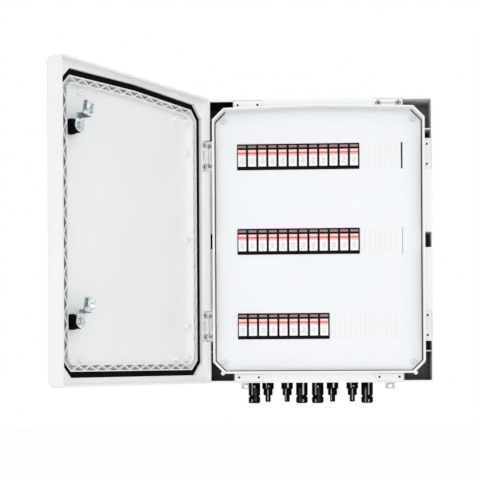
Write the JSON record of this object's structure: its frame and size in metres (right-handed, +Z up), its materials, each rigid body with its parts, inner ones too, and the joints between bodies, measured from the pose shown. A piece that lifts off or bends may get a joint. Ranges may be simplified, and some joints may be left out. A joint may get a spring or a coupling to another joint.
{
  "type": "pv junction box",
  "caption": "Wall-mounted photovoltaic combiner and surge protection box with an open hinged door, modular arresters behind a front plate and cable connectors underneath.",
  "frame": {"origin": "centre of the back face, on the wall", "axes": "+Z up, +X to the right seen from the front, the front faces -Y"},
  "size_m": [0.6104, 0.5371, 0.554],
  "materials": {
    "case_plastic": "fine matt texture",
    "gasket_foam": "closed-cell foam skin",
    "hinge_plastic": "matt",
    "steel": "zinc plated",
    "yellow_zinc": "yellow zinc plated",
    "black_plastic": "matt",
    "zinc": "bright zinc plated",
    "plate_plastic": "gloss",
    "grey_plastic": "matt",
    "seal_rubber": "moulded",
    "brass": "bright",
    "rail_steel": "zinc plated",
    "arrester_plastic": "fine matt",
    "cartridge_plastic": "fine matt",
    "strip_plastic": "matt",
    "connector_plastic": "matt, fine ribs"
  },
  "bodies": {
    "case": {"arrester_base_bottom_1": "arrester_plastic", "arrester_base_bottom_2": "arrester_plastic", "arrester_base_bottom_3": "arrester_plastic", "arrester_base_middle_1": "arrester_plastic", "arrester_base_middle_2": "arrester_plastic", "arrester_base_middle_3": "arrester_plastic", "arrester_base_middle_4": "arrester_plastic", "arrester_base_top_1": "arrester_plastic", "arrester_base_top_2": "arrester_plastic", "arrester_base_top_3": "arrester_plastic", "arrester_base_top_4": "arrester_plastic", "blanking_strip_bottom": "strip_plastic", "blanking_strip_middle": "strip_plastic", "blanking_strip_top": "strip_plastic", "cartridges_bottom": "cartridge_plastic", "cartridges_middle": "cartridge_plastic", "cartridges_top": "cartridge_plastic", "connector_1": "connector_plastic", "connector_2": "connector_plastic", "connector_3": "connector_plastic", "connector_4": "connector_plastic", "connector_5": "connector_plastic", "connector_6": "connector_plastic", "connector_7": "connector_plastic", "connector_8": "connector_plastic", "connector_nuts": "black_plastic", "connector_seals": "seal_rubber", "din_rail_bottom": "rail_steel", "din_rail_middle": "rail_steel", "din_rail_top": "rail_steel", "earth_bar": "brass", "enclosure_base": "case_plastic", "frame_screws": "steel", "frame_spacers": "grey_plastic", "front_plate": "plate_plastic", "front_plate_posts": "grey_plastic", "front_plate_screws": "plate_plastic", "hinge_frame_leaf_lower": "hinge_plastic", "hinge_frame_leaf_upper": "hinge_plastic", "hinge_frame_screws": "steel", "hinge_pins": "steel", "lug_screws": "steel", "pad_screws": "yellow_zinc", "rail_upright_left": "rail_steel", "rail_upright_right": "rail_steel", "wall_lugs": "steel"},
    "door": {"door_shell": "case_plastic", "door_gasket": "gasket_foam", "hinge_door_leaf_upper": "hinge_plastic", "hinge_door_leaf_lower": "hinge_plastic", "hinge_door_screws": "steel", "lock_housing_upper": "black_plastic", "lock_housing_lower": "black_plastic", "lock_nuts": "black_plastic"},
    "upper_lock": {"lock_spindle_upper": "zinc", "lock_cam_upper": "zinc", "cam_screw_upper": "steel"},
    "lower_lock": {"lock_spindle_lower": "zinc", "lock_cam_lower": "zinc", "cam_screw_lower": "steel"}
  },
  "joints": [
    {"name": "door_hinge", "type": "hinge", "parent": "case", "child": "door", "pos_m": [-0.197, -0.188, 0], "axis": [0, 0, 1], "range_deg": [-10.5, 119.5]},
    {"name": "upper_lock_turn", "type": "hinge", "parent": "door", "child": "upper_lock", "pos_m": [-0.37832, -0.4841, 0.15], "axis": [0.8704, -0.4924, 0], "range_deg": [0, 100]},
    {"name": "lower_lock_turn", "type": "hinge", "parent": "door", "child": "lower_lock", "pos_m": [-0.37832, -0.4841, -0.15], "axis": [0.8704, -0.4924, 0], "range_deg": [0, 100]}
  ]
}
